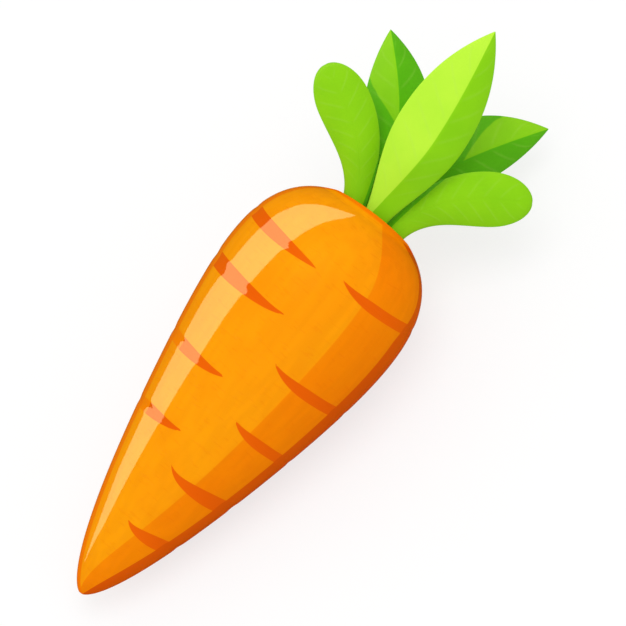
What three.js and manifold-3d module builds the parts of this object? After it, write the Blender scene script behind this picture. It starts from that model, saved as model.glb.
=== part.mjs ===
// A fresh carrot lying on its side: one tapered root with five leaves growing from its crown.
// Lengths are millimetres and +Z is up. The plant is shaped in a frame of its own, with the tip
// of the root at the origin, the crown up +Y and the front of the leaf fan facing +Z. One group
// then lays it along +X on its belly, and the origin goes to the middle of its footprint.

import * as THREE from 'three';
import { ParametricGeometry } from 'three/addons/geometries/ParametricGeometry.js';
import { mergeVertices } from 'three/addons/utils/BufferGeometryUtils.js';
import Module from 'manifold-3d';

// Root: its radius is GIRTH * u^TAPER * (1 - u^SHOULDER)^DOME at the share u of its length.
const ROOT_LENGTH = 140.3;
const GIRTH = 37.7;
const TAPER = 0.593;
const SHOULDER = 7.555;
const DOME = 0.4434;
const ROOT_SEGMENTS = 48;
const ROOT_RINGS = 34;
const RING_CROWDING = 2.2;

// Hollow in the crown that the leaves stand in: a low dome for a floor, then a rising bank.
const HOLLOW_FLOOR = 136.6;
const HOLLOW_CROWN = 0.6;
const HOLLOW_RADIUS = 10.2;
const HOLLOW_BANK = 11.5;
const HOLLOW_BANK_HEIGHT = 137.1;
const HOLLOW_RIM = 12.4;
const HOLLOW_RIM_HEIGHT = 138.4;
const HOLLOW_MOUTH = 14;

// Creases: shallow grooves that run part of the way round the skin, on one side of the front.
// Each starts at a point, inner degrees from the front, hooks down from there to its station,
// opens to its width within open degrees, and climbs by lift in its first 60 degrees, as a ring
// does that lies a little askew. It closes again CREASE_REACH degrees from the front.
const CREASE_DEPTH = 0.8;
const CREASE_REACH = 118;
const CREASE_CLOSING = 45;
const CREASE_FULLNESS = 0.8;
const HOOK_SPREAD = 8;
const CREASE_STEPS = 16;
const CREASE_SIDES = 8;
const CREASES = [
  { side: -1, station: 116.5, inner: -7, width: 4.2, open: 45, hook: 0, lift: 2.3 },
  { side: -1, station: 99.1, inner: -7, width: 4.8, open: 55, hook: 1.3, lift: 1.9 },
  { side: -1, station: 74.6, inner: -12, width: 3.8, open: 45, hook: 1.1, lift: 2 },
  { side: -1, station: 54.8, inner: -19, width: 3.4, open: 38, hook: 0.8, lift: 0.5 },
  { side: 1, station: 116.8, inner: 9, width: 3.2, open: 26, hook: 1.4, lift: 1.6 },
  { side: 1, station: 85.5, inner: 7, width: 3.4, open: 30, hook: 1.4, lift: 1.5 },
  { side: 1, station: 65.8, inner: 11, width: 3.2, open: 26, hook: 1.1, lift: 0.8 },
  { side: 1, station: 43.7, inner: -6, width: 4.7, open: 58, hook: 1.8, lift: 1.3 },
  { side: 1, station: 24.5, inner: -9, width: 4.2, open: 55, hook: 0.8, lift: 1.4 },
];

// Leaves: half-thickness of the stalk and of the blade, how far the stalk reaches along the
// leaf, the rounded butt at its foot, the thin tip and the stretch where the fold comes in.
const STALK_THICKNESS = 1.8;
const BLADE_THICKNESS = 0.7;
const STALK_SHARE = 0.2;
const BUTT_SHARE = 0.05;
const THIN_BELOW = 3;
const FOLD_START = 0.03;
const FOLD_FULL = 0.35;
const BOW_POWER = 0.8;
const LEAF_SIDES = 16;
const LEAF_RINGS = 24;
const END_CROWDING = 0.11;

// Two leaf outlines. widest is where along the leaf the blade is widest, swell shapes the run
// up to it, fall and close the run down to the end, crest the section and fold its height.
const POINTED = { widest: 0.48, swell: 1.2, fall: 2.3, close: 1, crest: 1.15, fold: 0.5 };
const ROUNDED = { widest: 0.71, swell: 1.6, fall: 2, close: 0.5, crest: 2, fold: 0.3 };

// Every leaf stands at base (across, up and forward of the root's axis), leans across the fan
// by lean degrees, to the left when positive, tips forward by pitch degrees and arches back by
// arch at its end. stalk and blade are half-widths, bow is how far its middle line bends to
// the right, and rib how far the midrib lies to the right of the middle.
const SPRING_GREEN = 0xa6e02c;
const LEAF_GREEN = 0x86c916;
const DEEP_GREEN = 0x5fb00c;
const LEAVES = [
  {
    name: 'center_leaf', form: POINTED, color: SPRING_GREEN, base: [0.7, 137.7, 4.9],
    lean: 4.7, pitch: 11, arch: 4, length: 66, stalk: 3.8, blade: 10.8, bow: 0, rib: 2.4,
  },
  {
    name: 'left_round_leaf', form: ROUNDED, color: LEAF_GREEN, base: [-7, 138.1, 0.8],
    lean: 49.2, pitch: 4, arch: 2, length: 41.1, stalk: 3, blade: 8, bow: 4.8, rib: 0,
  },
  {
    name: 'right_round_leaf', form: ROUNDED, color: LEAF_GREEN, base: [7.6, 138, 0.8],
    lean: -38.8, pitch: 4, arch: 2, length: 41.6, stalk: 3, blade: 8.1, bow: -5.6, rib: 0,
  },
  {
    name: 'back_left_leaf', form: POINTED, color: DEEP_GREEN, base: [-2.6, 137.8, -3.8],
    lean: 29.5, pitch: -6, arch: 3, length: 54.4, stalk: 2.8, blade: 10.1, bow: 5.7, rib: 0.6,
  },
  {
    name: 'back_right_leaf', form: POINTED, color: DEEP_GREEN, base: [3.4, 137.9, -7.6],
    lean: -22.4, pitch: -12, arch: 3, length: 57.9, stalk: 2.8, blade: 10.3, bow: -6.6, rib: 2,
  },
];

// How the plant lies: the leaf fan faces FAN_TURN degrees off straight up, and the belly rests
// on a small flat, REST_CUT deep, below the centre of mass.
const FAN_TURN = 30;
const REST_STATION = 84.5;
const REST_CUT = 0.4;

const SKIN_ORANGE = 0xfb9b10;
const ROOM = 400;
const WELD = 1e-3;

const wasm = await Module();
wasm.setup();

const { clamp, degToRad, lerp, smoothstep } = THREE.MathUtils;

function rootRadius(y) {
  const u = clamp(y / ROOT_LENGTH, 0, 1);
  return GIRTH * u ** TAPER * (1 - u ** SHOULDER) ** DOME;
}

function rootSlope(y) {
  const step = 0.5;
  return (rootRadius(y + step) - rootRadius(y - step)) / (2 * step);
}

function solidOf(geometry) {
  const bare = geometry.clone();
  bare.deleteAttribute('normal');
  bare.deleteAttribute('uv');
  const merged = mergeVertices(bare, WELD);
  return new wasm.Manifold(new wasm.Mesh({
    numProp: 3,
    vertProperties: merged.attributes.position.array,
    triVerts: new Uint32Array(merged.index.array),
  }));
}

function geometryOf(solid) {
  const mesh = solid.getMesh();
  const geometry = new THREE.BufferGeometry();
  geometry.setAttribute('position', new THREE.BufferAttribute(mesh.vertProperties, 3));
  geometry.setIndex(new THREE.BufferAttribute(mesh.triVerts, 1));
  geometry.computeVertexNormals();
  return geometry;
}

// Rings crowd together at the tip and over the crown, where the radius changes fastest.
function rootBlank() {
  const profile = [];
  for (let i = 0; i <= ROOT_RINGS; i += 1) {
    const y = ROOT_LENGTH * (1 - (1 - (i / ROOT_RINGS) ** 2) ** RING_CROWDING);
    profile.push(new THREE.Vector2(rootRadius(y), y));
  }
  return new THREE.LatheGeometry(profile, ROOT_SEGMENTS);
}

function crownHollow() {
  const above = ROOT_LENGTH + HOLLOW_RIM;
  return new THREE.LatheGeometry([
    new THREE.Vector2(0, HOLLOW_FLOOR + HOLLOW_CROWN),
    new THREE.Vector2(HOLLOW_RADIUS, HOLLOW_FLOOR),
    new THREE.Vector2(HOLLOW_BANK, HOLLOW_BANK_HEIGHT),
    new THREE.Vector2(HOLLOW_RIM, HOLLOW_RIM_HEIGHT),
    new THREE.Vector2(HOLLOW_MOUTH, above),
    new THREE.Vector2(0, above),
  ], ROOT_SEGMENTS);
}

// How far a crease is open, from 0 to 1, once it has turned so far round the root.
function creaseOpening(turned, open, reach) {
  const near = Math.sin(0.5 * Math.PI * Math.min(1, turned / open)) ** CREASE_FULLNESS;
  const far = clamp((reach - turned) / CREASE_CLOSING, 0, 1);
  return near * Math.sqrt(far * (2 - far));
}

// A canoe of oval section that follows the skin round the root, sunk to half its thickness.
function creaseCutter({ side, station, inner, width, open, hook, lift }) {
  const reach = CREASE_REACH - side * inner;
  return new ParametricGeometry((around, along, target) => {
    const turned = reach * (side < 0 ? 1 - along : along);
    const angle = degToRad(inner + side * turned);
    const askew = 2 * lift * (1 - Math.cos(degToRad(turned)));
    const y = station + hook * Math.exp(-turned / HOOK_SPREAD) + askew;
    const full = creaseOpening(turned, open, reach);
    const turn = 2 * Math.PI * around;
    const radius = rootRadius(y) + CREASE_DEPTH * full * Math.sin(turn);
    const up = y + 0.5 * width * full * Math.cos(turn);
    target.set(radius * Math.sin(angle), up, radius * Math.cos(angle));
  }, CREASE_SIDES, CREASE_STEPS);
}

// Everything below the surface that the carrot rests on, in the plant's frame.
function belowSurface(plant) {
  const block = new THREE.BoxGeometry(ROOM, ROOM, ROOM).translate(0, 0, -ROOM / 2);
  return block.applyMatrix4(plant.matrix.clone().invert());
}

function buildRoot(plant) {
  const cutters = [crownHollow(), ...CREASES.map(creaseCutter), belowSurface(plant)];
  let solid = solidOf(rootBlank());
  for (const cutter of cutters) {
    solid = solid.subtract(solidOf(cutter));
  }
  const skin = new THREE.MeshStandardMaterial({
    color: SKIN_ORANGE, roughness: 0.35, metalness: 0,
  });
  const root = new THREE.Mesh(geometryOf(solid), skin);
  root.name = 'root';
  return root;
}

function halfWidth(leaf, u) {
  const { widest, swell, fall, close } = leaf.form;
  if (u < widest) {
    const rise = Math.sin((0.5 * Math.PI * u) / widest) ** swell;
    return lerp(leaf.stalk, leaf.blade, rise);
  }
  const past = Math.min(1, (u - widest) / (1 - widest));
  return leaf.blade * (1 - past ** fall) ** close;
}

// The stalk ends in a rounded butt inside the hollow of the crown.
function buttShare(u) {
  const inside = clamp(1 - u / BUTT_SHARE, 0, 1);
  return Math.sqrt(1 - inside ** 2);
}

function middleLine(leaf, u) {
  const x = leaf.bow * Math.sin(Math.PI * u ** BOW_POWER);
  return new THREE.Vector2(x, leaf.length * u);
}

// Unit vector across the leaf, to the right of its middle line.
function acrossLeaf(leaf, u) {
  const step = 0.02;
  const ahead = middleLine(leaf, Math.min(1, u + step));
  const behind = middleLine(leaf, Math.max(0, u - step));
  const along = ahead.sub(behind).normalize();
  return new THREE.Vector2(along.y, -along.x);
}

function halfThickness(u, width) {
  const stalk = Math.exp(-((u / STALK_SHARE) ** 2));
  const full = lerp(BLADE_THICKNESS, STALK_THICKNESS, stalk);
  return full * Math.min(1, width / THIN_BELOW);
}

// A leaf is one closed tube whose flat section is folded up along its midrib.
function leafGeometry(leaf) {
  const { crest, fold } = leaf.form;
  return new ParametricGeometry((around, along, target) => {
    const u = clamp(along - END_CROWDING * Math.sin(2 * Math.PI * along), 0, 1);
    const turn = 2 * Math.PI * around;
    const place = Math.cos(turn);
    const width = halfWidth(leaf, u) * buttShare(u);
    const rib = leaf.rib * Math.sin(Math.PI * u) * (1 - place ** 2);
    const across = acrossLeaf(leaf, u).multiplyScalar(width * place + rib);
    const middle = middleLine(leaf, u).add(across);
    const ridge = fold * width * smoothstep(u, FOLD_START, FOLD_FULL);
    const height = ridge * (1 - Math.abs(place) ** crest) - leaf.arch * u ** 2;
    const skin = halfThickness(u, width) * Math.sin(turn);
    target.set(middle.x, middle.y, height - skin);
  }, LEAF_SIDES, LEAF_RINGS);
}

function buildLeaf(leaf) {
  const material = new THREE.MeshStandardMaterial({
    color: leaf.color, roughness: 0.45, metalness: 0,
  });
  const mesh = new THREE.Mesh(geometryOf(solidOf(leafGeometry(leaf))), material);
  mesh.name = leaf.name;
  mesh.rotation.x = degToRad(leaf.pitch);
  const holder = new THREE.Group();
  holder.position.set(...leaf.base);
  holder.rotation.z = degToRad(leaf.lean);
  holder.add(mesh);
  return holder;
}

// Turns the plant so that its belly is level, and lifts it until REST_CUT of it is below zero.
function layDown(plant) {
  const slope = rootSlope(REST_STATION);
  plant.rotateY(-Math.atan(slope));
  plant.rotateZ(-Math.PI / 2);
  plant.rotateY(degToRad(FAN_TURN));
  const radius = rootRadius(REST_STATION);
  const above = new THREE.Vector3(0, REST_STATION + radius * slope, 0);
  above.applyQuaternion(plant.quaternion);
  plant.position.z = radius * Math.hypot(1, slope) - REST_CUT - above.z;
  plant.updateMatrix();
}

function centreFootprint(carrot, plant) {
  carrot.updateMatrixWorld(true);
  const box = new THREE.Box3().setFromObject(carrot, true);
  const middle = box.getCenter(new THREE.Vector3());
  plant.position.x -= middle.x;
  plant.position.y -= middle.y;
}

function buildCarrot() {
  const carrot = new THREE.Group();
  const plant = new THREE.Group();
  layDown(plant);
  plant.add(buildRoot(plant), ...LEAVES.map(buildLeaf));
  carrot.add(plant);
  centreFootprint(carrot, plant);
  return carrot;
}

export default buildCarrot();
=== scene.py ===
# A fresh carrot lying on its side: a glossy tapered root with creased skin, and five leaves that
# stand in the hollow of its crown. Every piece is shaped upright in the plant's own frame, with
# the tip of the root at the origin, the crown up +Y, the front of the leaf fan facing +Z and the
# plant's right along +X. It is then laid down where the CAD model lies. Lengths are metres.

import math

import bpy
import numpy as np
from mathutils import Matrix, Vector


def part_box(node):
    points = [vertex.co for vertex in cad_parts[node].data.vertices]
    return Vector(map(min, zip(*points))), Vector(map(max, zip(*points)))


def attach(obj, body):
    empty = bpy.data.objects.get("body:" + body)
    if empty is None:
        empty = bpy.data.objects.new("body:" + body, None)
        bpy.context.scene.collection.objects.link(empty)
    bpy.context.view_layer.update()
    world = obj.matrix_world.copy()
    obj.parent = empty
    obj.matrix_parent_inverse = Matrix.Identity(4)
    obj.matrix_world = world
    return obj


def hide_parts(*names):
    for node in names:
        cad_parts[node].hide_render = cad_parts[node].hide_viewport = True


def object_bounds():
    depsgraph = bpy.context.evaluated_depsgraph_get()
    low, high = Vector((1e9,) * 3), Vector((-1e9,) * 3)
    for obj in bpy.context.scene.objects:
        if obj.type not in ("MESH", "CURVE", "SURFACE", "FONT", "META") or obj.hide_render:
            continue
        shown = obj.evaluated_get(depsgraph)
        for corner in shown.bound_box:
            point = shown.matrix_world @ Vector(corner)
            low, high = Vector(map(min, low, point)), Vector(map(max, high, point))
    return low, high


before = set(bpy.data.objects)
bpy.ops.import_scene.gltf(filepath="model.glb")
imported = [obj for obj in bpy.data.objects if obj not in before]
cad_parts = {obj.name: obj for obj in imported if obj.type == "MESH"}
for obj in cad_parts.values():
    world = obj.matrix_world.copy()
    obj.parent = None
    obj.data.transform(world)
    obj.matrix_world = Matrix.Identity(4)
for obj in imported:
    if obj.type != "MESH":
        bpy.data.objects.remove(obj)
cad_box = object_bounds()

MM = 0.001

# ---------------------------------------------------------------- driving dimensions

# Root: its radius is GIRTH * u^TAPER * (1 - u^SHOULDER)^DOME at the share u of its length, up
# to the radius SHOULDER_TOP, from where the rings of the crown go on.
ROOT_LENGTH = 140.3 * MM
GIRTH = 37.85 * MM
TAPER = 0.608
SHOULDER = 7.555
DOME = 0.463
ROOT_SIDES = 32
ROOT_RINGS = 40
RING_CROWDING = 2.2
SHOULDER_TOP = 13.6 * MM
ROOT_SMOOTHING = 3

# The crown, from its rim down the bank to the floor of the hollow: radius and height, mm. The
# rim rises by RIM_RISE towards the front, fading within RIM_SPREAD to each side of its radius.
CROWN_RINGS = [
    (12.9, 138.5), (12.3, 138.5), (11.7, 138.0), (11.2, 137.4), (10.3, 136.9), (8.4, 136.8),
    (5.6, 136.95), (2.8, 137.1), (0.9, 137.15),
]
RIM_RADIUS = 12.8 * MM
RIM_SPREAD = 2.2 * MM
RIM_RISE = 0.9 * MM

# The root is not quite straight: it sways left at its tip and right at two thirds of its length.
SWAY = 0.35 * MM
SWAY_SWINGS = 1.5

# Creases: each starts in a point inner degrees to the right of the front and runs round on its
# side, -1 left or 1 right, to CREASE_REACH. It hooks down to its station within about
# HOOK_SPREAD degrees, opens to its width within open degrees, climbs by lift over its first 60
# degrees and closes over its last CREASE_CLOSING degrees. Its bed falls from CREASE_LIP outside
# its edge to CREASE_BANK inside it, and beyond FAR_OFF it isn't measured. The list is in mm.
CREASE_DEPTH = 0.18 * MM
CREASE_REACH = 118
CREASE_CLOSING = 45
CREASE_FULLNESS = 0.8
HOOK_SPREAD = 8
CREASE_LIP = 0.3 * MM
CREASE_BANK = 2.0 * MM
FAR_OFF = 3 * MM
CREASES = [
    {"side": -1, "station": 116.5, "inner": -7, "width": 4.2, "open": 45, "hook": 0, "lift": 2.3},
    {"side": -1, "station": 99.1, "inner": -5, "width": 4.8, "open": 56, "hook": 1.6, "lift": 1.9},
    {"side": -1, "station": 74.6, "inner": -11, "width": 3.8, "open": 46, "hook": 1.6, "lift": 2},
    {"side": -1, "station": 54.8, "inner": -15, "width": 3.5, "open": 42, "hook": 1.3, "lift": 0.5},
    {"side": 1, "station": 116.8, "inner": 8, "width": 3.2, "open": 27, "hook": 1.8, "lift": 1.6},
    {"side": 1, "station": 85.5, "inner": 6, "width": 3.4, "open": 31, "hook": 2.4, "lift": 1.5},
    {"side": 1, "station": 65.8, "inner": 9.5, "width": 3.2, "open": 28, "hook": 2.2, "lift": 0.8},
    {"side": 1, "station": 43.7, "inner": -7.5, "width": 4.7, "open": 60, "hook": 3, "lift": 1.3},
    {"side": 1, "station": 24.5, "inner": -10, "width": 4.2, "open": 56, "hook": 1.7, "lift": 1.4},
]

# Leaves: half-thickness of the stalk and of the blade, how far the stalk reaches along the
# leaf, and the half-width below which it thins out. Shares are of the leaf's length.
STALK_THICKNESS = 1.8 * MM
BLADE_THICKNESS = 0.5 * MM
STALK_SHARE = 0.2
THIN_BELOW = 3 * MM

# Where the fold along the midrib comes in and is full, how far the midrib's shift at the foot
# reaches, and how low on the leaf its bow is greatest.
FOLD_START = 0.03
FOLD_FULL = 0.35
RIB_FOOT_SHARE = 0.4
BOW_POWER = 0.8

# The leaf's mesh: its rings crowd towards both ends, it is rooted below the floor of the
# crown, and its direction is taken over LEAF_STEP to each side.
LEAF_SIDES = 16
LEAF_RINGS = 26
END_CROWDING = 0.13
LEAF_ROOTED = 2 * MM
LEAF_END = 0.998
LEAF_STEP = 0.02
LEAF_SMOOTHING = 3

# The crisp line of the fold: how near the midrib, from how far up, and how crisp.
CRISP_ACROSS = 0.05
CRISP_FROM = 0.08
CRISPNESS = 0.8

# Veins: pairs of them along the leaf, how far they slant, how slim they are, their relief, and
# between which shares of the leaf they come in off the midrib, the edge, the foot and the tip.
VEIN_PAIRS = 9
VEIN_SLANT = 1.3
VEIN_EDGE = 0.78
VEIN_HEIGHT = 0.05 * MM
VEIN_OFF_MIDRIB = (0.0, 0.2)
VEIN_OFF_EDGE = (0.05, 0.35)
VEIN_OFF_FOOT = (0.08, 0.25)
VEIN_OFF_TIP = (0.02, 0.12)
MIDRIB_SHARE = 0.06
MIDRIB_DEPTH = 0.10 * MM

# Leaf outlines: where the blade is widest, how it swells up to there and falls and closes to
# the end, the crest of its section, and the height of its fold in shares of its half-width.
POINTED = {"widest": 0.48, "swell": 1.2, "fall": 2.3, "close": 1, "crest": 1.15, "fold": 0.5}
SLIM_FOOTED = dict(POINTED, swell=1.45)
ROUNDED = {"widest": 0.71, "swell": 1.6, "fall": 2, "close": 0.5, "crest": 2, "fold": 0.3}

# Every leaf stands at base (across, up and forward of the root's axis), leans to the left by
# lean degrees, tips forward by pitch degrees and arches back by arch at its end. stalk and
# blade are half-widths, bow is how far its middle line bends to the right, rib how far the
# midrib lies to the right of the middle and rib_foot how far to the left of it at the foot.
# Lengths are mm. Where a leaf has a painted shadow at its foot, cast by the leaves in front,
# shaded_foot is how far up the midrib that deep green reaches and how much further on the left
# edge. Where painted shade runs deep green along one side, next to the centre leaf, shaded_side is
# which side, 1 right or -1 left, the share of the half-width at which that starts at the foot, and
# how fast it narrows up the leaf.
LEAVES = [
    {
        "name": "center_leaf", "slot": "spring_green_leaf", "form": SLIM_FOOTED,
        "base": (0.9, 137.7, 4.9), "lean": 5, "pitch": 11, "arch": 4, "length": 65.3,
        "stalk": 3.5, "blade": 10.8, "bow": 0, "rib": 2.4, "rib_foot": 2.2,
        "shaded_foot": None, "shaded_side": None,
    },
    {
        "name": "left_round_leaf", "slot": "round_green_leaf", "form": ROUNDED,
        "base": (-7, 138.1, 0.8), "lean": 49.2, "pitch": 4, "arch": 2, "length": 41.1,
        "stalk": 3.6, "blade": 8, "bow": 4.8, "rib": 0, "rib_foot": 0,
        "shaded_foot": None, "shaded_side": (1, 0.72, 3),
    },
    {
        "name": "right_round_leaf", "slot": "round_green_leaf", "form": ROUNDED,
        "base": (7.6, 138, 0.8), "lean": -39.8, "pitch": 4, "arch": 2, "length": 41.6,
        "stalk": 3.5, "blade": 8.1, "bow": -5.6, "rib": 0, "rib_foot": 0,
        "shaded_foot": None, "shaded_side": (-1, 0.38, 3.1),
    },
    {
        "name": "back_left_leaf", "slot": "deep_green_leaf", "form": POINTED,
        "base": (-2.6, 137.8, -3.8), "lean": 29.5, "pitch": -6, "arch": 3, "length": 55.2,
        "stalk": 2.8, "blade": 10.1, "bow": 5.7, "rib": 0.6, "rib_foot": 0,
        "shaded_foot": (0.462, 0.30), "shaded_side": None,
    },
    {
        "name": "back_right_leaf", "slot": "deep_green_leaf", "form": POINTED,
        "base": (3.4, 137.9, -7.6), "lean": -22.2, "pitch": -12, "arch": 3, "length": 59.2,
        "stalk": 2.8, "blade": 10.3, "bow": -6.6, "rib": 2, "rib_foot": 0,
        "shaded_foot": (0.513, 0.29), "shaded_side": None,
    },
]

# How the plant lies: the leaf fan faces FAN_TURN degrees off straight up, and the belly rests
# on a small flat, REST_CUT deep, below the centre of mass.
FAN_TURN = 30
REST_STATION = 84.5 * MM
REST_CUT = 0.4 * MM
ENDS_SAMPLES = 1000
SLOPE_STEP = 0.5 * MM

# ---------------------------------------------------------------- shape of the root


def root_radius(y):
    u = np.clip(np.asarray(y) / ROOT_LENGTH, 0, 1)
    return GIRTH * u**TAPER * (1 - u**SHOULDER) ** DOME


def root_slope(y):
    rise = root_radius(y + SLOPE_STEP) - root_radius(y - SLOPE_STEP)
    return float(rise) / (2 * SLOPE_STEP)


def laid_down():
    """The turn and shift that lay the plant where the CAD root lies."""
    slope = root_slope(REST_STATION)
    turn = Matrix.Rotation(-math.atan(slope), 4, "Y")
    turn @= Matrix.Rotation(-math.pi / 2, 4, "Z")
    turn @= Matrix.Rotation(math.radians(FAN_TURN), 4, "Y")
    radius = float(root_radius(REST_STATION))
    above = turn @ Vector((0, REST_STATION + radius * slope, 0))
    axis = turn @ Vector((0, 1, 0))
    y = np.linspace(0, ROOT_LENGTH, ENDS_SAMPLES)
    swing = root_radius(y) * math.sqrt(1 - axis.x**2)
    middle = ((y * axis.x + swing).max() + (y * axis.x - swing).min()) / 2
    low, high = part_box("root")
    shift = Vector((
        (low.x + high.x) / 2 - middle,
        (low.y + high.y) / 2,
        radius * math.hypot(1, slope) - REST_CUT - above.z,
    ))
    return Matrix.Translation(shift) @ turn


LAID = laid_down()
FRONT = (LAID.to_3x3() @ Vector((0, 0, 1))).normalized()
UP_THE_PLANT = (LAID.to_3x3() @ Vector((0, 1, 0))).normalized()
TO_THE_RIGHT = (LAID.to_3x3() @ Vector((1, 0, 0))).normalized()

# ---------------------------------------------------------------- modelling helpers


def deselect_all():
    if bpy.context.object and bpy.context.object.mode != "OBJECT":
        bpy.ops.object.mode_set(mode="OBJECT")
    bpy.ops.object.select_all(action="DESELECT")


def activate(piece):
    deselect_all()
    piece.select_set(True)
    bpy.context.view_layer.objects.active = piece


def select_points(piece, chosen):
    """Goes into edit mode with only the chosen vertices selected."""
    activate(piece)
    bpy.ops.object.mode_set(mode="EDIT")
    bpy.ops.mesh.select_mode(type="VERT")
    bpy.ops.mesh.select_all(action="DESELECT")
    bpy.ops.object.mode_set(mode="OBJECT")
    piece.data.vertices.foreach_set("select", chosen)
    bpy.ops.object.mode_set(mode="EDIT")


def places(piece):
    """The places of a piece's vertices, a row each."""
    flat = np.empty(len(piece.data.vertices) * 3)
    piece.data.vertices.foreach_get("co", flat)
    return flat.reshape(-1, 3)


def loft(name, sides, rings):
    """A closed tube along +Y through rings of (height, half across, half deep)."""
    deselect_all()
    height, across, deep = rings[0]
    bpy.ops.mesh.primitive_circle_add(
        vertices=sides, radius=across, fill_type="NOTHING",
        location=(0, height, 0), rotation=(math.radians(-90), 0, 0),
    )
    piece = bpy.context.object
    piece.name = name
    bpy.ops.object.transform_apply(location=True, rotation=True, scale=True)
    bpy.ops.object.mode_set(mode="EDIT")
    bpy.ops.mesh.select_all(action="SELECT")
    bpy.ops.transform.resize(value=(1, 1, deep / across), center_override=(0, height, 0))
    for upper, wider, deeper in rings[1:]:
        bpy.ops.mesh.extrude_region_move(
            TRANSFORM_OT_translate={"value": (0, upper - height, 0)}
        )
        bpy.ops.transform.resize(
            value=(wider / across, 1, deeper / deep), center_override=(0, upper, 0)
        )
        height, across, deep = upper, wider, deeper
    close_ends()
    bpy.ops.object.mode_set(mode="OBJECT")
    return piece


def close_ends():
    """Fills both open ends with a fan of triangles and turns all faces outwards."""
    bpy.ops.mesh.select_all(action="DESELECT")
    bpy.ops.mesh.select_non_manifold()
    bpy.ops.mesh.fill_holes(sides=0)
    bpy.ops.mesh.select_all(action="DESELECT")
    bpy.ops.mesh.select_face_by_sides(number=4, type="GREATER")
    bpy.ops.mesh.poke()
    bpy.ops.mesh.select_all(action="SELECT")
    bpy.ops.mesh.normals_make_consistent(inside=False)


def smooth_surface(piece, levels):
    activate(piece)
    smoothing = piece.modifiers.new("smooth surface", "SUBSURF")
    smoothing.levels = levels
    smoothing.render_levels = levels
    bpy.ops.object.modifier_apply(modifier=smoothing.name)
    bpy.ops.object.shade_smooth()


def push(piece, direction, amounts):
    """Moves every vertex by its own amount along X, Y, Z or its NORMAL."""
    activate(piece)
    start = 0.0 if direction == "NORMAL" else float(amounts.min())
    rest = amounts - start
    furthest = float(rest[np.argmax(np.abs(rest))])
    if furthest:
        share = np.clip(rest / furthest, 0, 1)
        pull = piece.vertex_groups.new(name="pull")
        for index in np.flatnonzero(share > 0):
            pull.add([int(index)], float(share[index]), "REPLACE")
        mover = piece.modifiers.new("push", "DISPLACE")
        mover.direction = direction
        mover.vertex_group = pull.name
        mover.strength = furthest
        mover.mid_level = 0
        bpy.ops.object.modifier_apply(modifier=mover.name)
        piece.vertex_groups.clear()
    if start:
        step = {"X": (start, 0, 0), "Y": (0, start, 0), "Z": (0, 0, start)}[direction]
        bpy.ops.object.mode_set(mode="EDIT")
        bpy.ops.mesh.select_all(action="SELECT")
        bpy.ops.transform.translate(value=step)
        bpy.ops.object.mode_set(mode="OBJECT")


def store(piece, name, values):
    """Keeps a number, or three, with every vertex, for materials to read."""
    kind = "FLOAT" if values.ndim == 1 else "FLOAT_VECTOR"
    field = "value" if values.ndim == 1 else "vector"
    kept = piece.data.attributes.new(name, kind, "POINT")
    kept.data.foreach_set(field, values.astype(np.float32).ravel())


def stored(piece, name):
    flat = np.empty(len(piece.data.vertices) * 3, np.float32)
    piece.data.attributes[name].data.foreach_get("vector", flat)
    return flat.reshape(-1, 3)


def lay_down(piece, standing=Matrix.Identity(4)):
    activate(piece)
    piece.matrix_world = LAID @ standing @ piece.matrix_world
    bpy.ops.object.transform_apply(location=True, rotation=True, scale=True)


def smoothstep(x, low, high):
    share = np.clip((x - low) / (high - low), 0, 1)
    return share * share * (3 - 2 * share)


# ---------------------------------------------------------------- the root


def ring_rounding(sides):
    """How much wider a ring is drawn, because smoothing pulls its corners in."""
    return 3 / (2 + math.cos(2 * math.pi / sides))


def root_rings():
    """Rings from the tip up over the shoulder, and on into the hollow of the crown."""
    rings = []
    for i in range(1, ROOT_RINGS + 1):
        y = ROOT_LENGTH * (1 - (1 - (i / ROOT_RINGS) ** 2) ** RING_CROWDING)
        radius = float(root_radius(y))
        if radius < SHOULDER_TOP and y > ROOT_LENGTH / 2:
            break
        rings.append((y, radius))
    rings += [(height * MM, radius * MM) for radius, height in CROWN_RINGS]
    wider = ring_rounding(ROOT_SIDES)
    return [(y, radius * wider, radius * wider) for y, radius in rings]


def inside_crease(y, angle, crease):
    """How far a point of the skin lies inside the edge of a crease, negative outside it."""
    turned = crease["side"] * (angle - crease["inner"])
    reach = CREASE_REACH - crease["side"] * crease["inner"]
    along = np.clip(turned, 0, reach)
    askew = 2 * crease["lift"] * (1 - np.cos(np.radians(along)))
    middle = crease["station"] + crease["hook"] * np.exp(-along / HOOK_SPREAD) + askew
    near = np.sin(0.5 * np.pi * np.minimum(1, along / crease["open"])) ** CREASE_FULLNESS
    far = np.clip((reach - along) / CREASE_CLOSING, 0, 1)
    half = 0.5 * crease["width"] * near * np.sqrt(far * (2 - far))
    inside = half * MM - np.abs(y - middle * MM)
    beyond = np.radians(np.abs(turned - along)) * root_radius(y)
    return np.maximum(-FAR_OFF, np.where(beyond > 0, -np.hypot(inside, beyond), inside))


def crease_map(points):
    """How far every point of the skin lies inside the crease that it is nearest to."""
    angle = np.degrees(np.arctan2(points[:, 0], points[:, 2]))
    return np.max([inside_crease(points[:, 1], angle, crease) for crease in CREASES], axis=0)


def flatten_belly(root):
    """What would sink below the surface is pressed flat against it."""
    select_points(root, places(root)[:, 2] < 0)
    bpy.ops.transform.resize(value=(1, 1, 0), center_override=(0, 0, 0))
    bpy.ops.object.mode_set(mode="OBJECT")


def crown_rise(points):
    """The rim of the crown stands a little higher towards the front."""
    radius = np.hypot(points[:, 0], points[:, 2])
    towards = np.maximum(0, points[:, 2] / np.maximum(radius, MM)) ** 2
    near_rim = np.exp(-(((radius - RIM_RADIUS) / RIM_SPREAD) ** 2))
    return RIM_RISE * towards * near_rim * (points[:, 1] > ROOT_LENGTH / 2)


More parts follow.
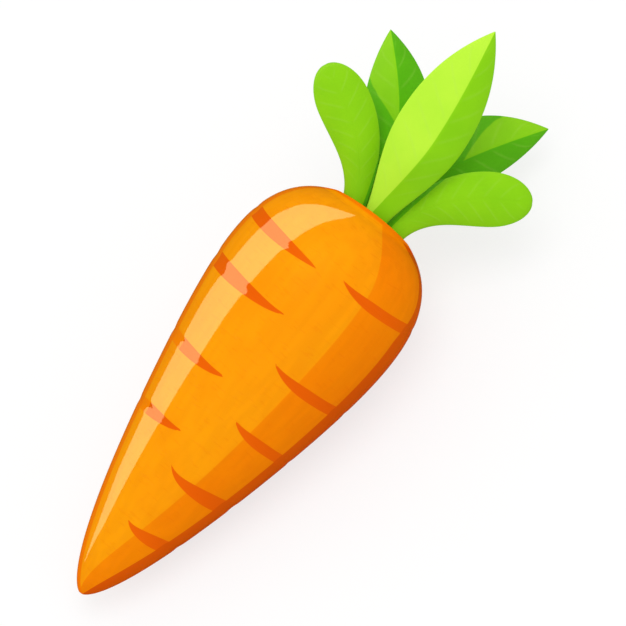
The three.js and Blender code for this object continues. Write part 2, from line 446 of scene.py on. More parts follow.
def build_root():
    root = loft("carrot_root", ROOT_SIDES, root_rings())
    smooth_surface(root, ROOT_SMOOTHING)
    push(root, "Y", crown_rise(places(root)))
    inside = crease_map(places(root))
    store(root, "crease", inside / MM)
    push(root, "NORMAL", -CREASE_DEPTH * smoothstep(inside, -CREASE_LIP, CREASE_BANK))
    up = places(root)[:, 1] / ROOT_LENGTH
    push(root, "X", -SWAY * np.cos(SWAY_SWINGS * np.pi * up))
    lay_down(root)
    flatten_belly(root)
    return root


# ---------------------------------------------------------------- the leaves


def half_width(leaf, u):
    """The leaf's outline: it swells from the stalk to its widest and closes to its end."""
    form = leaf["form"]
    rise = np.sin(0.5 * np.pi * np.clip(u / form["widest"], 0, 1)) ** form["swell"]
    growing = leaf["stalk"] + (leaf["blade"] - leaf["stalk"]) * rise
    past = np.clip((u - form["widest"]) / (1 - form["widest"]), 0, 1)
    closing = leaf["blade"] * (1 - past ** form["fall"]) ** form["close"]
    return np.where(u < form["widest"], growing, closing) * MM


def half_thickness(u, width):
    """Thick in the stalk, thin in the blade, and thinner still where the leaf is narrow."""
    stalk = np.exp(-((np.maximum(u, 0) / STALK_SHARE) ** 2))
    full = BLADE_THICKNESS + (STALK_THICKNESS - BLADE_THICKNESS) * stalk
    return full * np.minimum(1, width / THIN_BELOW)


def bow_at(leaf, u):
    """How far the middle line bends to the right; below the crown it runs on straight."""
    bent = np.sin(np.pi * np.clip(u, 0, 1) ** BOW_POWER)
    straight = np.sin(np.pi * LEAF_STEP**BOW_POWER) * u / LEAF_STEP
    return leaf["bow"] * MM * np.where(u < 0, straight, bent)


def leaf_rings(leaf):
    wider = ring_rounding(LEAF_SIDES)
    length = leaf["length"] * MM
    rings = []
    for i in range(LEAF_RINGS + 1):
        along = i / LEAF_RINGS
        u = min(along - END_CROWDING * math.sin(2 * math.pi * along), LEAF_END)
        if i == 0:
            u = -LEAF_ROOTED / length
        width = float(half_width(leaf, u))
        rings.append((u * length, width * wider, float(half_thickness(u, width)) * wider))
    return rings


def out_of_shade(leaf, across, u):
    """Above zero where the leaf has its own green, below zero where it is painted deep green, as
    shadow at the foot or shade along one side.
    """
    if leaf["shaded_foot"]:
        reach, slant = leaf["shaded_foot"]
        return u + slant * across - reach
    if leaf["shaded_side"]:
        side, start, narrowing = leaf["shaded_side"]
        return start + narrowing * np.maximum(u, 0) ** 2 - side * across
    return np.ones_like(u)


def shape_leaf(blade, leaf):
    """Folds the straight blade up along its midrib, bows it and arches it back."""
    length = leaf["length"] * MM
    form = leaf["form"]
    points = places(blade)
    u = np.minimum(points[:, 1] / length, LEAF_END)
    width = half_width(leaf, u)
    wider = ring_rounding(LEAF_SIDES)
    across = np.clip(points[:, 0] / (width * wider), -1, 1)
    face = np.clip(points[:, 2] / (half_thickness(u, width) * wider), -1, 1)
    store(blade, "leaf_place", np.stack([across, u, face], axis=1))
    store(blade, "out_of_shade", out_of_shade(leaf, across, u))
    ahead = np.minimum(1, u + LEAF_STEP)
    behind = u - LEAF_STEP
    tangent = np.stack([bow_at(leaf, ahead) - bow_at(leaf, behind), (ahead - behind) * length])
    tangent /= np.hypot(*tangent)
    rib = leaf["rib"] * np.sin(np.pi * np.clip(u, 0, 1))
    rib -= leaf["rib_foot"] * np.clip(1 - u / RIB_FOOT_SHARE, 0, 1)
    rib *= MM * (1 - across**2)
    offset = points[:, 0] + rib
    ridge = form["fold"] * width * smoothstep(u, FOLD_START, FOLD_FULL)
    height = ridge * (1 - np.abs(across) ** form["crest"]) - leaf["arch"] * MM * u**2
    push(blade, "X", bow_at(leaf, u) + tangent[1] * offset - points[:, 0])
    push(blade, "Y", -tangent[0] * offset)
    push(blade, "Z", height)


def sharpen_midrib(blade):
    """Keeps the fold along the midrib crisp when the blade is smoothed."""
    place = stored(blade, "leaf_place")
    on_midrib = (np.abs(place[:, 0]) < CRISP_ACROSS) & (place[:, 1] > CRISP_FROM)
    select_points(blade, on_midrib)
    bpy.ops.mesh.select_mode(type="EDGE")
    bpy.ops.transform.edge_crease(value=CRISPNESS)
    bpy.ops.object.mode_set(mode="OBJECT")


def raise_veins(blade):
    """A fine groove along the upper side of the midrib, and side veins that stand off it."""
    across, along, face = stored(blade, "leaf_place").T
    spread = np.abs(across)
    phase = along * VEIN_PAIRS - spread * VEIN_SLANT
    ripple = np.abs(2 * (phase - np.floor(phase)) - 1)
    reach = smoothstep(spread, *VEIN_OFF_MIDRIB) * smoothstep(1 - spread, *VEIN_OFF_EDGE)
    inside = smoothstep(along, *VEIN_OFF_FOOT) * smoothstep(1 - along, *VEIN_OFF_TIP)
    veins = smoothstep(ripple, VEIN_EDGE, 1) * reach * inside
    midrib = smoothstep(1 - spread, 1 - MIDRIB_SHARE, 1) * inside
    upper = np.where(face > 0, 1, 0)
    store(blade, "veins", veins)
    push(blade, "NORMAL", -MIDRIB_DEPTH * midrib * upper)
    push(blade, "NORMAL", VEIN_HEIGHT * veins)


def build_leaf(leaf):
    blade = loft(leaf["name"] + "_blade", LEAF_SIDES, leaf_rings(leaf))
    shape_leaf(blade, leaf)
    if leaf["form"] is not ROUNDED:
        sharpen_midrib(blade)
    smooth_surface(blade, LEAF_SMOOTHING)
    raise_veins(blade)
    standing = Matrix.Translation(Vector(leaf["base"]) * MM)
    standing @= Matrix.Rotation(math.radians(leaf["lean"]), 4, "Z")
    standing @= Matrix.Rotation(math.radians(leaf["pitch"]), 4, "X")
    lay_down(blade, standing)
    return blade


# ---------------------------------------------------------------- material helpers

COLUMN_WIDTH = 220
ROW_HEIGHT = 180

# The sockets of a Mix node that mixes colours.
MIX_SHARE = 0
MIX_FIRST = 6
MIX_SECOND = 7
MIX_RESULT = 2


def feed(tree, socket, value):
    """Gives a socket another node's output, or a plain value."""
    if isinstance(value, bpy.types.NodeSocket):
        tree.links.new(value, socket)
    else:
        socket.default_value = value


def add(tree, kind, inputs=None, **settings):
    """Adds a node, sets it up, and feeds its sockets by name or number."""
    node = tree.nodes.new(kind)
    for name, value in settings.items():
        setattr(node, name, value)
    for label, value in (inputs or {}).items():
        feed(tree, node.inputs[label], value)
    return node


def reckon(tree, operation, *values, clamp=False):
    node = add(tree, "ShaderNodeMath", operation=operation, use_clamp=clamp)
    for socket, value in zip(node.inputs, values):
        feed(tree, socket, value)
    return node.outputs[0]


def ramp(tree, value, low, high):
    """A mask that comes in softly from 0 at low to 1 at high."""
    node = add(
        tree, "ShaderNodeMapRange", {"Value": value, "From Min": low, "From Max": high},
        interpolation_type="SMOOTHSTEP",
    )
    return node.outputs["Result"]


def mixed(tree, share, first, second, blend="MIX"):
    node = add(
        tree, "ShaderNodeMix", {MIX_SHARE: share}, data_type="RGBA", blend_type=blend
    )
    feed(tree, node.inputs[MIX_FIRST], first)
    feed(tree, node.inputs[MIX_SECOND], second)
    return node.outputs[MIX_RESULT]


def arrange(tree):
    """Lays the nodes out in columns, each to the right of all that feed it."""
    column = {node.name: 0 for node in tree.nodes}
    for _ in tree.nodes:
        for link in tree.links:
            start = column[link.from_node.name]
            column[link.to_node.name] = max(column[link.to_node.name], start + 1)
    filled = {}
    for node in tree.nodes:
        across = column[node.name]
        filled[across] = filled.get(across, 0) + 1
        node.location = (COLUMN_WIDTH * across, -ROW_HEIGHT * filled[across])


def new_material(name):
    material = bpy.data.materials.new(name)
    material.use_nodes = True
    tree = material.node_tree
    tree.nodes.clear()
    output = add(tree, "ShaderNodeOutputMaterial")
    shader = add(tree, "ShaderNodeBsdfPrincipled")
    tree.links.new(shader.outputs[0], output.inputs["Surface"])
    return material, tree, shader


def roughened(tree, shader, height, bump):
    """Feeds the shader a bump of the given strength and distance."""
    relief = add(tree, "ShaderNodeBump", {**bump, "Height": height})
    tree.links.new(relief.outputs["Normal"], shader.inputs["Normal"])


def plant_places(tree):
    """Object coordinates carried back to the upright plant's own frame."""
    coordinates = add(tree, "ShaderNodeTexCoord")
    location, rotation, _ = LAID.decompose()
    upright = add(
        tree, "ShaderNodeMapping",
        {
            "Vector": coordinates.outputs["Object"],
            "Location": location,
            "Rotation": rotation.to_euler(),
        },
        vector_type="TEXTURE",
    )
    return upright.outputs["Vector"]


def stretched_noise(tree, vector, scales):
    """Plain noise with its own scale, per metre, across, along and towards the front."""
    stretch = add(tree, "ShaderNodeMapping", {"Vector": vector, "Scale": scales})
    noise = add(
        tree, "ShaderNodeTexNoise",
        {"Vector": stretch.outputs["Vector"], "Scale": 1.0, "Detail": 1.0},
    )
    return noise.outputs["Fac"]


def new_group(name, inputs, outputs):
    group = bpy.data.node_groups.new(name, "ShaderNodeTree")
    for label, kind in inputs:
        group.interface.new_socket(label, in_out="INPUT", socket_type=kind)
    for label, kind in outputs:
        group.interface.new_socket(label, in_out="OUTPUT", socket_type=kind)
    entry = add(group, "NodeGroupInput")
    leave = add(group, "NodeGroupOutput")
    return group, entry.outputs, leave.inputs


# Living mottle: the clouds that come in between these levels tint the colour from the darker
# to the lighter grey, and the specks are finer by SPECK_FINENESS.
CLOUD_LEVELS = (0.25, 0.75)
CLOUD_DARK = (0.42, 0.42, 0.42, 1)
CLOUD_LIGHT = (0.58, 0.58, 0.58, 1)
CLOUD_STRENGTH = 0.5
CLOUD_DETAIL = 3.0
SPECK_FINENESS = 14.0
SPECK_DETAIL = 2.0


def living_mottle():
    """Soft cloudy unevenness of colour, as living skin has, and specks for its relief."""
    group, given, wanted = new_group(
        "living mottle",
        [
            ("Vector", "NodeSocketVector"), ("Scale", "NodeSocketFloat"),
            ("Color", "NodeSocketColor"),
        ],
        [("Color", "NodeSocketColor"), ("Specks", "NodeSocketFloat")],
    )
    clouds = add(
        group, "ShaderNodeTexNoise",
        {"Vector": given["Vector"], "Scale": given["Scale"], "Detail": CLOUD_DETAIL},
    )
    shade = ramp(group, clouds.outputs["Fac"], *CLOUD_LEVELS)
    tone = mixed(group, shade, CLOUD_DARK, CLOUD_LIGHT)
    color = mixed(group, CLOUD_STRENGTH, given["Color"], tone, blend="SOFT_LIGHT")
    finer = reckon(group, "MULTIPLY", given["Scale"], SPECK_FINENESS)
    specks = add(
        group, "ShaderNodeTexNoise",
        {"Vector": given["Vector"], "Scale": finer, "Detail": SPECK_DETAIL},
    )
    group.links.new(color, wanted["Color"])
    group.links.new(specks.outputs["Fac"], wanted["Specks"])
    arrange(group)
    return group


# ---------------------------------------------------------------- skin of the root

# Most of these oranges are painted shade: the deeper orange band on the right, the deeper orange of
# the far side and of the thin outlines, the dark rim on the right with its reddened edge, and the
# darker red-orange in the creases, which also tints the pores. The main orange and the crown's
# olive are the root's own colours.
MAIN_ORANGE = (0.965, 0.325, 0.002, 1)
PAINTED_SHADE_ORANGE = (0.93, 0.232, 0.0005, 1)
PAINTED_OUTLINE_AND_FAR_SHADE = (0.95, 0.20, 0.001, 1)
PAINTED_DARK_RIM_ORANGE = (0.70, 0.085, 0.001, 1)
PAINTED_RED_EDGE_SHADE = (0.86, 0.085, 0.008, 1)
CREASE_SHADE_AND_PORE_ORANGE = (0.81, 0.11, 0.001, 1)
CROWN_OLIVE = (0.30, 0.27, 0.02, 1)

SKIN_ROUGHNESS = 0.5
SKIN_BUMP = {"Strength": 0.25, "Distance": 0.12 * MM}
SKIN_CLOUDS = 60.0
COAT_INDEX = 1.65
COAT_ROUGHNESS = 0.05

# Short marks lie round the root, as breathing pores do, and faint streaks run along it: the
# scale of their noise, the levels between which they come in, their tint and their relief.
PORE_SCALES = (260, 1500, 260)
PORE_LEVELS = (0.60, 0.72)
PORE_SHARE = 0.12
PORE_RELIEF = -1.2
STREAK_SCALES = (420, 14, 420)
STREAK_LEVELS = (0.30, 0.70)
STREAK_TINT = (0.955, 0.935, 0.90, 1)
STREAK_RELIEF = 0.5
UNTINTED = (1, 1, 1, 1)

# Each band of painted shade is given by the two values between which it comes in: turned is degrees
# round from the front, to the right, and the rest are lengths. The right side is painted darker as
# shade: a deeper orange band, then a dark rim whose outermost edge is reddened. Towards the tip the
# band of painted shade and the painted dark rim swing round to the front, by less and less over
# TIP_FADE up the root.
PAINTED_SHADE_TURNED = (26.0, 27.2)
PAINTED_SHADE_SWING = 60.0
DARK_RIM_TURNED = (62.0, 63.0)
DARK_RIM_SWING = 50.0
DARK_RIM_OVER_TURNED = (150.0, 105.0)
RED_EDGE_SHADE_TURNED = (76.0, 78.0)
TIP_FADE = 20 * MM

# On the dome the band of painted shade curls in towards the crown, and the painted dark rim thins
# and closes.
CURL_START = 118 * MM
CURL_LENGTH = 20 * MM
CURL_POWER = 2.0
CURL_TURN = 12.0
THINNED_UP = (112 * MM, 128 * MM)
THINNED_TURN = -9.0
CLOSED_UP = (133 * MM, 140 * MM)
CLOSED_TURN = 26.0

# The whole far side is painted as shade in one plain deeper orange, which both edges of the front
# run into, and a thin outline of the same painted shade runs along the left edge. LEFT_EDGE is the
# depth in from the left edge as the front shows it.
LEFT_EDGE = (1.40 * MM, 1.25 * MM)
LEFT_TURNED = (-80.0, -90.0)
RIGHT_TURNED = (85.0, 130.0)

# The creases' edge, mm inside it. The creases are painted a darker red-orange as shade in their
# grooves; the two lower ones on the left fade to the orange of the painted shade band where they
# leave the front, and on the far side all of them are painted a little darker, towards the orange
# of the painted dark rim.
CREASE_EDGE = (-0.04, 0.04)
FADED_UP = (85 * MM, 83 * MM)
FADED_TURNED = (-55.6, -56.4)
FAR_CREASE_TURNED = (84.0, 100.0)
FAR_CREASE_SHARE = 0.6

# The crown: the ring of painted shade round its rim and the hollow by their radius, and the skin
# around them, which is dull.
CROWN_UP = (130 * MM, 132 * MM)
CROWN_SHADE_RADIUS = (15.0 * MM, 14.2 * MM)
HOLLOW_RADIUS = (12.2 * MM, 10.6 * MM)
DULL_RADIUS = (17.4 * MM, 15.8 * MM)


def skin_places(tree, plant):
    """Where a point of the skin is: across, up, degrees round from the front, and radius."""
    parts = add(tree, "ShaderNodeSeparateXYZ", {"Vector": plant})
    across, up, front = parts.outputs
    turned = reckon(tree, "ARCTAN2", across, front)
    turned = reckon(tree, "MULTIPLY", turned, math.degrees(1))
    radius = reckon(tree, "MULTIPLY", across, across)
    radius = reckon(tree, "MULTIPLY_ADD", front, front, radius)
    radius = reckon(tree, "SQRT", radius)
    return across, up, turned, radius


# Where the band of painted shade on the right comes in, swung round at the tip and curled in on the
# dome.
def painted_shade_turn(tree, up, turned, near_tip):
    swung = reckon(tree, "MULTIPLY_ADD", near_tip, PAINTED_SHADE_SWING, turned)
    curl = reckon(
        tree, "MULTIPLY_ADD", up, 1 / CURL_LENGTH, -CURL_START / CURL_LENGTH, clamp=True
    )
    curl = reckon(tree, "POWER", curl, CURL_POWER)
    return reckon(tree, "MULTIPLY_ADD", curl, CURL_TURN, swung)


# Where the painted dark rim on the right comes in, swung round at the tip and thinned and closed on
# the dome.
def dark_rim_turn(tree, up, turned, near_tip):
    swung = reckon(tree, "MULTIPLY_ADD", near_tip, DARK_RIM_SWING, turned)
    thinned = ramp(tree, up, *THINNED_UP)
    closed = ramp(tree, up, *CLOSED_UP)
    thinner = reckon(tree, "MULTIPLY_ADD", thinned, THINNED_TURN, swung)
    return reckon(tree, "MULTIPLY_ADD", closed, CLOSED_TURN, thinner)


# Painted shade in the creases, which low on the left fades to the painted shade band's orange.
def painted_crease_shade(tree, up, turned):
    low_down = ramp(tree, up, *FADED_UP)
    outer = ramp(tree, turned, *FADED_TURNED)
    faded = reckon(tree, "MULTIPLY", low_down, outer)
    return mixed(tree, faded, CREASE_SHADE_AND_PORE_ORANGE, PAINTED_SHADE_ORANGE)


# Painted shade: the whole far side is a deeper orange, and a thin deeper orange outline runs along
# the left edge.
def painted_outline_and_far_shade(tree, color, across, turned, radius):
    from_edge = reckon(tree, "ADD", radius, across)
    left_edge = ramp(tree, from_edge, *LEFT_EDGE)
    left_side = ramp(tree, turned, *LEFT_TURNED)
    left = reckon(tree, "MAXIMUM", left_edge, left_side)
    right = ramp(tree, turned, *RIGHT_TURNED)
    color = mixed(tree, left, color, PAINTED_OUTLINE_AND_FAR_SHADE)
    return mixed(tree, right, color, PAINTED_OUTLINE_AND_FAR_SHADE)


# A dark rim painted as shade along the right edge, with a redder line at its outermost.
def painted_dark_rim(tree, color, dark_rim_turned, turned):
    into_dark_rim = ramp(tree, dark_rim_turned, *DARK_RIM_TURNED)
    out_of_dark_rim = ramp(tree, turned, *DARK_RIM_OVER_TURNED)
    dark_rim = reckon(tree, "MULTIPLY", into_dark_rim, out_of_dark_rim)
    color = mixed(tree, dark_rim, color, PAINTED_DARK_RIM_ORANGE)
    red_edge_shade = reckon(tree, "MULTIPLY", ramp(tree, turned, *RED_EDGE_SHADE_TURNED), dark_rim)
    return mixed(tree, red_edge_shade, color, PAINTED_RED_EDGE_SHADE)


# Painted shade: on the far side the creases are darkened towards the painted dark rim's orange.
def far_crease_shade(tree, color, inside, turned):
    away = ramp(tree, reckon(tree, "ABSOLUTE", turned), *FAR_CREASE_TURNED)
    groove = reckon(tree, "MULTIPLY", inside, away)
    groove = reckon(tree, "MULTIPLY", groove, FAR_CREASE_SHARE)
    return mixed(tree, groove, color, PAINTED_DARK_RIM_ORANGE)


# A ring of painted shade round the rim of the crown, and the olive of its hollow.
def crown_color(tree, color, top, radius):
    rim = reckon(tree, "MULTIPLY", top, ramp(tree, radius, *CROWN_SHADE_RADIUS))
    hollow = reckon(tree, "MULTIPLY", top, ramp(tree, radius, *HOLLOW_RADIUS))
    color = mixed(tree, rim, color, PAINTED_OUTLINE_AND_FAR_SHADE)
    return mixed(tree, hollow, color, CROWN_OLIVE)


def carrot_skin(mottle):
    material, tree, shader = new_material("carrot skin")
    plant = plant_places(tree)
    across, up, turned, radius = skin_places(tree, plant)
    near_tip = reckon(tree, "EXPONENT", reckon(tree, "MULTIPLY", up, -1 / TIP_FADE))
    top = ramp(tree, up, *CROWN_UP)
    pores = ramp(tree, stretched_noise(tree, plant, PORE_SCALES), *PORE_LEVELS)
    streaks = ramp(tree, stretched_noise(tree, plant, STREAK_SCALES), *STREAK_LEVELS)
    crease = add(tree, "ShaderNodeAttribute", attribute_name="crease")
    inside = ramp(tree, crease.outputs["Fac"], *CREASE_EDGE)

    # The right side is painted darker as shade, from this band on.
    deep = ramp(tree, painted_shade_turn(tree, up, turned, near_tip), *PAINTED_SHADE_TURNED)
    color = mixed(tree, deep, MAIN_ORANGE, PAINTED_SHADE_ORANGE)
    tint = mixed(tree, streaks, STREAK_TINT, UNTINTED)
    color = mixed(tree, 1.0, color, tint, blend="MULTIPLY")
    color = mixed(tree, reckon(tree, "MULTIPLY", pores, PORE_SHARE), color, CREASE_SHADE_AND_PORE_ORANGE)
    # The creases are painted darker, as shade in their grooves.
    color = mixed(tree, inside, color, painted_crease_shade(tree, up, turned))
    # Painted shade: the far side and the outlines, the dark rim on the right, darker far-side
    # creases and a ring round the crown's rim.
    color = painted_outline_and_far_shade(tree, color, across, turned, radius)
    color = painted_dark_rim(tree, color, dark_rim_turn(tree, up, turned, near_tip), turned)
    color = far_crease_shade(tree, color, inside, turned)
    color = crown_color(tree, color, top, radius)
    mottled = add(
        tree, "ShaderNodeGroup", {"Vector": plant, "Scale": SKIN_CLOUDS, "Color": color},
        node_tree=mottle,
    )
    tree.links.new(mottled.outputs["Color"], shader.inputs["Base Color"])

    dull = reckon(tree, "MULTIPLY", top, ramp(tree, radius, *DULL_RADIUS))
    glossy = reckon(tree, "SUBTRACT", 1.0, dull)
    tree.links.new(glossy, shader.inputs["Coat Weight"])
    height = reckon(tree, "MULTIPLY_ADD", pores, PORE_RELIEF, mottled.outputs["Specks"])
    height = reckon(tree, "MULTIPLY_ADD", streaks, STREAK_RELIEF, height)
    roughened(tree, shader, height, SKIN_BUMP)
    shader.inputs["Roughness"].default_value = SKIN_ROUGHNESS
    shader.inputs["Coat Roughness"].default_value = COAT_ROUGHNESS
    shader.inputs["Coat IOR"].default_value = COAT_INDEX
    shader.inputs["Specular IOR Level"].default_value = 0.0
    arrange(tree)
    return material


# ---------------------------------------------------------------- skin of the leaves

# The greens of a leaf's left and right half. Where they differ, the left half is painted lighter as
# the lit side of the fold and the right half darker as its shaded side, on top of the real shading
# the fold gets; the round leaves are one green.
LEAF_LIT_AND_SHADED_GREENS = {
    "spring_green_leaf": ((0.45, 0.82, 0.035, 1), (0.24, 0.62, 0.003, 1)),
    "round_green_leaf": ((0.24, 0.60, 0.003, 1), (0.24, 0.60, 0.003, 1)),
    "deep_green_leaf": ((0.235, 0.60, 0.003, 1), (0.095, 0.45, 0.001, 1)),
}
# Painted shadow and shade: the deep green of the back leaves' feet, where the leaves in front cast
# shadow, and of the round leaves' side next to the centre leaf.
PAINTED_SHADE_GREEN = (0.095, 0.45, 0.001, 1)
UNDERSIDE_GREEN = (0.36, 0.58, 0.12, 1)
VEIN_GREEN = (0.42, 0.70, 0.10, 1)

# Where each comes in, in shares of the half-width, of the length and of the thickness.
MIDDLE_ACROSS = (-0.015, 0.015)
SHADED_BELOW = (0.008, -0.008)
UNDERSIDE_FACE = (-0.1, -0.4)
UNDERSIDE_SHARE = 0.45
VEIN_SHARE = 0.14

LEAF_ROUGHNESS = 0.5
LEAF_SPECULAR = 0.12
LEAF_BUMP = {"Strength": 0.12, "Distance": 0.3 * MM}
LEAF_CLOUDS = 90.0


def leaf_skin(slot, mottle):
    material, tree, shader = new_material(slot.replace("_", " "))
    left, right = LEAF_LIT_AND_SHADED_GREENS[slot]
    place = add(tree, "ShaderNodeAttribute", attribute_name="leaf_place")
    parts = add(tree, "ShaderNodeSeparateXYZ", {"Vector": place.outputs["Vector"]})
    across, _, face = parts.outputs
    lit = add(tree, "ShaderNodeAttribute", attribute_name="out_of_shade")
    veins = add(tree, "ShaderNodeAttribute", attribute_name="veins")

    # The two halves of the fold are painted as its lit and its shaded side.
    color = mixed(tree, ramp(tree, across, *MIDDLE_ACROSS), left, right)
    # Painted shadow at the foot of the back leaves and painted shade along the round leaves' inner
    # side.
    color = mixed(tree, ramp(tree, lit.outputs["Fac"], *SHADED_BELOW), color, PAINTED_SHADE_GREEN)
    vein_share = reckon(tree, "MULTIPLY", veins.outputs["Fac"], VEIN_SHARE)
    color = mixed(tree, vein_share, color, VEIN_GREEN)
    under = reckon(tree, "MULTIPLY", ramp(tree, face, *UNDERSIDE_FACE), UNDERSIDE_SHARE)
    color = mixed(tree, under, color, UNDERSIDE_GREEN)
    coordinates = add(tree, "ShaderNodeTexCoord")
    mottled = add(
        tree, "ShaderNodeGroup",
        {"Vector": coordinates.outputs["Object"], "Scale": LEAF_CLOUDS, "Color": color},
        node_tree=mottle,
    )
    tree.links.new(mottled.outputs["Color"], shader.inputs["Base Color"])
    roughened(tree, shader, mottled.outputs["Specks"], LEAF_BUMP)
    shader.inputs["Roughness"].default_value = LEAF_ROUGHNESS
    shader.inputs["Specular IOR Level"].default_value = LEAF_SPECULAR
    arrange(tree)
    return material


# ---------------------------------------------------------------- floor and world

WHITE = (1, 1, 1, 1)
FLOOR_SIZE = 12
FLOOR_WHITE = (0.93, 0.93, 0.93, 1)
FLOOR_BOUNCE = (0.75, 0.75, 0.75, 1)
FLOOR_GLOSS = (0.40, 0.14, 0.01, 1)
FLOOR_GLOW = 0.72
WORLD_FILL = (0.85, 0.85, 0.85, 1)
WORLD_GLOSS = (0.45, 0.17, 0.015, 1)


def lay_floor():
    """A pale floor that gives back little light, and a warm dark tone in reflections."""
    deselect_all()
    bpy.ops.mesh.primitive_plane_add(size=FLOOR_SIZE, location=(0, 0, 0))
    floor = bpy.context.object
    floor.name = "floor"
    material, tree, shader = new_material("pale floor")
    rays = add(tree, "ShaderNodeLightPath")
    seen_in = mixed(tree, rays.outputs["Is Glossy Ray"], FLOOR_BOUNCE, FLOOR_GLOSS)
    color = mixed(tree, rays.outputs["Is Camera Ray"], seen_in, FLOOR_WHITE)
    tree.links.new(color, shader.inputs["Base Color"])
    shader.inputs["Roughness"].default_value = 1.0
    shader.inputs["Specular IOR Level"].default_value = 0.0
    glow = add(tree, "ShaderNodeEmission", {"Color": WHITE, "Strength": 1.0})
    share = reckon(tree, "MULTIPLY", rays.outputs["Is Camera Ray"], FLOOR_GLOW)
    surface = add(
        tree, "ShaderNodeMixShader", {0: share, 1: shader.outputs[0], 2: glow.outputs[0]}
    )
    tree.links.new(surface.outputs[0], tree.nodes["Material Output"].inputs["Surface"])
    arrange(tree)
    floor.data.materials.append(material)


def light_world():
    """White where it is seen, a soft grey fill, and a warm dark tone in reflections."""
    world = bpy.data.worlds.new("studio")
    bpy.context.scene.world = world
    world.use_nodes = True
    tree = world.node_tree
    tree.nodes.clear()
    rays = add(tree, "ShaderNodeLightPath")
    fill = mixed(tree, rays.outputs["Is Camera Ray"], WORLD_FILL, WHITE)
    color = mixed(tree, rays.outputs["Is Glossy Ray"], fill, WORLD_GLOSS)
    background = add(tree, "ShaderNodeBackground", {"Color": color, "Strength": 1.0})
    output = add(tree, "ShaderNodeOutputWorld")
    tree.links.new(background.outputs[0], output.inputs["Surface"])
    arrange(tree)


# ---------------------------------------------------------------- key light and sheen

KEY_TURN = -20
KEY_LEAN = 15
KEY_DISTANCE = 1.6
KEY_SIZE = 1.1
KEY_POWER = 8.5

# The long soft reflection on the front left of the root: station, outer and inner edge in
# degrees round from the front. Its card hangs SHEEN_DISTANCE away, or just above the floor
# where that is nearer, and it glows so that its reflection is SHEEN_LEVEL bright all over.
SHEEN = [
    (8.5, -44, -42), (20, -47, -35.5), (38, -54.8, -36.5), (65, -58.5, -36.5),
    (90, -59.3, -35.4), (104, -56, -33.3), (114, -54, -30.8), (122, -52.5, -27.8),
    (128, -47.6, -24), (131, -40.5, -19.8), (133, -31.7, -16.3), (134.6, -20.5, -14),
    (135.5, -13.2, -12.8),
]
SHEEN_ROWS = 90
SHEEN_COLUMNS = 8
SHEEN_DISTANCE = 1.3
SHEEN_GAP = 4 * MM
SHEEN_COLOR = (1.0, 0.9, 0.42, 1)
SHEEN_LEVEL = 0.24


def direction(turn, lean):
    """A direction turn degrees round from the front and lean degrees up towards the crown."""
    turn = math.radians(turn)
    lean = math.radians(lean)
    return (
        FRONT * math.cos(turn) * math.cos(lean)
        + TO_THE_RIGHT * math.sin(turn) * math.cos(lean)
        + UP_THE_PLANT * math.sin(lean)
    )


def hang_key_light(centre):
    towards = direction(KEY_TURN, KEY_LEAN)
    bpy.ops.object.light_add(type="AREA", location=centre + towards * KEY_DISTANCE)
    key = bpy.context.object
    key.name = "key light"
    key.rotation_mode = "QUATERNION"
    key.rotation_quaternion = towards.to_track_quat("Z", "Y")
    key.data.shape = "DISK"
    key.data.size = KEY_SIZE
    key.data.energy = KEY_POWER
    key.visible_camera = False
    key.visible_glossy = False


def fresnel(cosine, index):
    """The share of light that a coat of this refractive index reflects."""
    inner = np.sqrt(1 - (1 - cosine**2) / index**2)
    across = (cosine - index * inner) / (cosine + index * inner)
    along = (inner - index * cosine) / (inner + index * cosine)
    return (across**2 + along**2) / 2


def mirrored_place(y, turn, eye):
    """Where the card has to hang for the skin at y and turn to mirror it, and how bright."""
    tilt = -math.atan(root_slope(y))
    facing = direction(turn, math.degrees(tilt))
    turn = math.radians(turn)
    radius = float(root_radius(y))
    skin = LAID @ Vector((radius * math.sin(turn), y, radius * math.cos(turn)))
    view = (eye - skin).normalized()
    mirrored = 2 * facing.dot(view) * facing - view
    distance = SHEEN_DISTANCE
    if mirrored.z < 0:
        distance = min(distance, (skin.z - SHEEN_GAP) / -mirrored.z)
    level = SHEEN_LEVEL / float(fresnel(facing.dot(view), COAT_INDEX))
    return skin + mirrored * distance, level


def sheen_card_skin():
    material, tree, shader = new_material("sheen card")
    tree.nodes.remove(shader)
    level = add(tree, "ShaderNodeAttribute", attribute_name="level")
    glow = add(
        tree, "ShaderNodeEmission", {"Color": SHEEN_COLOR, "Strength": level.outputs["Fac"]}
    )
    tree.links.new(glow.outputs[0], tree.nodes["Material Output"].inputs["Surface"])
    arrange(tree)
    return material


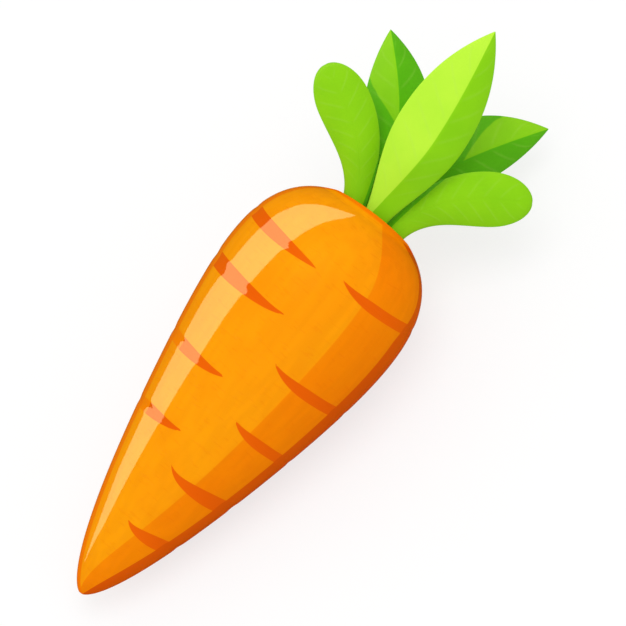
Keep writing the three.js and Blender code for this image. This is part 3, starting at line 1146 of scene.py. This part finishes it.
def hang_sheen_card(eye):
    """A glowing card, seen only as a reflection, shaped so that it mirrors as the long sheen."""
    table = np.array(SHEEN)
    stations = np.linspace(table[0, 0], table[-1, 0], SHEEN_ROWS + 1)
    outer = np.interp(stations, table[:, 0], table[:, 1])
    inner = np.interp(stations, table[:, 0], table[:, 2])
    places_and_levels = [
        mirrored_place(y, first + (last - first) * column / SHEEN_COLUMNS, eye)
        for y, first, last in zip(stations * MM, outer, inner)
        for column in range(SHEEN_COLUMNS + 1)
    ]
    deselect_all()
    bpy.ops.mesh.primitive_grid_add(
        x_subdivisions=SHEEN_COLUMNS, y_subdivisions=SHEEN_ROWS, size=1
    )
    card = bpy.context.object
    card.name = "sheen card"
    card.data.vertices.foreach_set("co", np.ravel([place for place, _ in places_and_levels]))
    card.data.update()
    store(card, "level", np.array([level for _, level in places_and_levels]))
    card.data.materials.append(sheen_card_skin())
    card.visible_camera = False
    card.visible_diffuse = False
    card.visible_shadow = False
    card.visible_transmission = False
    card.visible_volume_scatter = False


# ---------------------------------------------------------------- camera

# The camera looks straight at the front of the leaf fan, rolled so that the plant climbs to
# the upper right, through a long lens. The aim and the width of the view are mm.
CAMERA_AIM = (3.3, 105.8, 0)
CAMERA_ROLL = 52.3
CAMERA_DISTANCE = 2.02
CAMERA_LENS = 400
CAMERA_VIEW = 181.8
CAMERA_REACH = 20


def set_camera():
    aim = LAID @ (Vector(CAMERA_AIM) * MM)
    bpy.ops.object.camera_add(location=aim + FRONT * CAMERA_DISTANCE)
    camera = bpy.context.object
    climb = math.radians(CAMERA_ROLL)
    right = UP_THE_PLANT * math.cos(climb) + TO_THE_RIGHT * math.sin(climb)
    up = UP_THE_PLANT * math.sin(climb) - TO_THE_RIGHT * math.cos(climb)
    camera.rotation_mode = "QUATERNION"
    camera.rotation_quaternion = Matrix((right, up, FRONT)).transposed().to_quaternion()
    camera.data.lens = CAMERA_LENS
    camera.data.sensor_width = CAMERA_VIEW * MM * CAMERA_LENS / CAMERA_DISTANCE
    camera.data.clip_end = CAMERA_REACH
    bpy.context.scene.camera = camera
    bpy.context.scene.view_settings.view_transform = "Standard"
    return camera


# ---------------------------------------------------------------- the whole scene


def main():
    camera = set_camera()
    mottle = living_mottle()
    root = build_root()
    root.data.materials.append(carrot_skin(mottle))
    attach(root, "root")
    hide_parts("root")
    skins = {slot: leaf_skin(slot, mottle) for slot in LEAF_LIT_AND_SHADED_GREENS}
    for leaf in LEAVES:
        blade = build_leaf(leaf)
        blade.data.materials.append(skins[leaf["slot"]])
        # The leaves are kept out of the glossy reflections in the root.
        blade.visible_glossy = False
        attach(blade, "root")
        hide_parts(leaf["name"])
    lay_floor()
    light_world()
    hang_key_light((cad_box[0] + cad_box[1]) / 2)
    hang_sheen_card(camera.location)


main()
